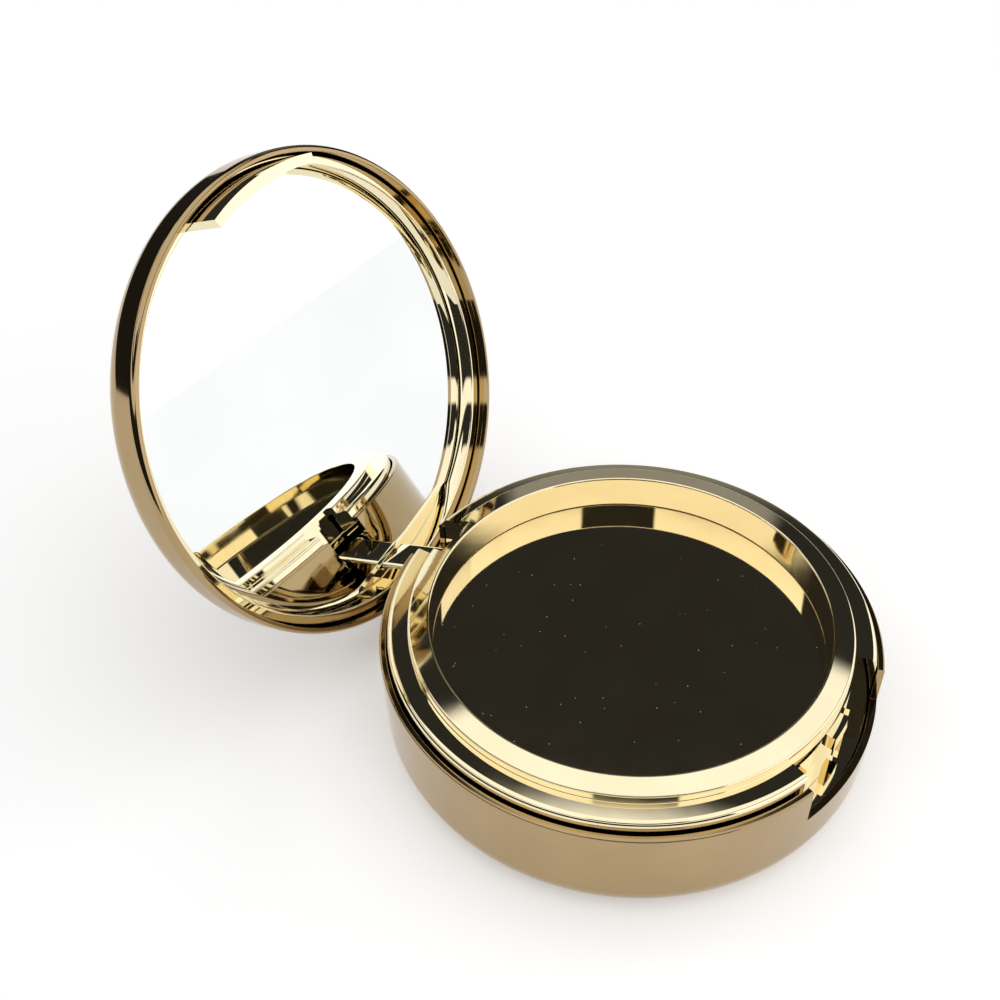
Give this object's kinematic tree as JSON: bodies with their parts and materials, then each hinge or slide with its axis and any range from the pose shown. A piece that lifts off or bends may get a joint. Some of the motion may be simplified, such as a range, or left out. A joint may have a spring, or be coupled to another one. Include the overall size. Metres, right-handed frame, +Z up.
{
  "type": "powder compact",
  "caption": "Round hinged powder compact with a shallow refill well, a snap-latched mirror lid and gold-plated shells.",
  "frame": {"origin": "centre of the flat underside of the base, on the resting plane", "axes": "+Z up through the refill well, +Y towards the hinge, hinge axis along X, latch at -Y"},
  "size_m": [0.074, 0.1063, 0.076],
  "materials": {
    "shell_gold": "mirror-bright pale gold electroplating on ABS",
    "frame_gold": "mirror-bright pale gold electroplating on ABS",
    "well_gold": "mirror-bright yellow gold electroplating on ABS",
    "steel": "plain ground steel",
    "mirror_glass": "silvered float glass with a bevelled edge",
    "tape": "white double-sided foam tape"
  },
  "bodies": {
    "base": {"base_shell": "shell_gold", "middle_frame": "frame_gold", "well_floor": "well_gold", "weight_disc": "steel", "weight_tape": "tape", "hinge_pin": "steel"},
    "lid": {"lid_shell": "shell_gold", "lid_frame": "frame_gold", "mirror": "mirror_glass", "mirror_tape": "tape"}
  },
  "joints": [
    {"name": "lid_hinge", "type": "hinge", "parent": "base", "child": "lid", "pos_m": [0, 0.0335, 0.0113], "axis": [-1, 0, 0], "range_deg": [-109.5, 0]}
  ]
}
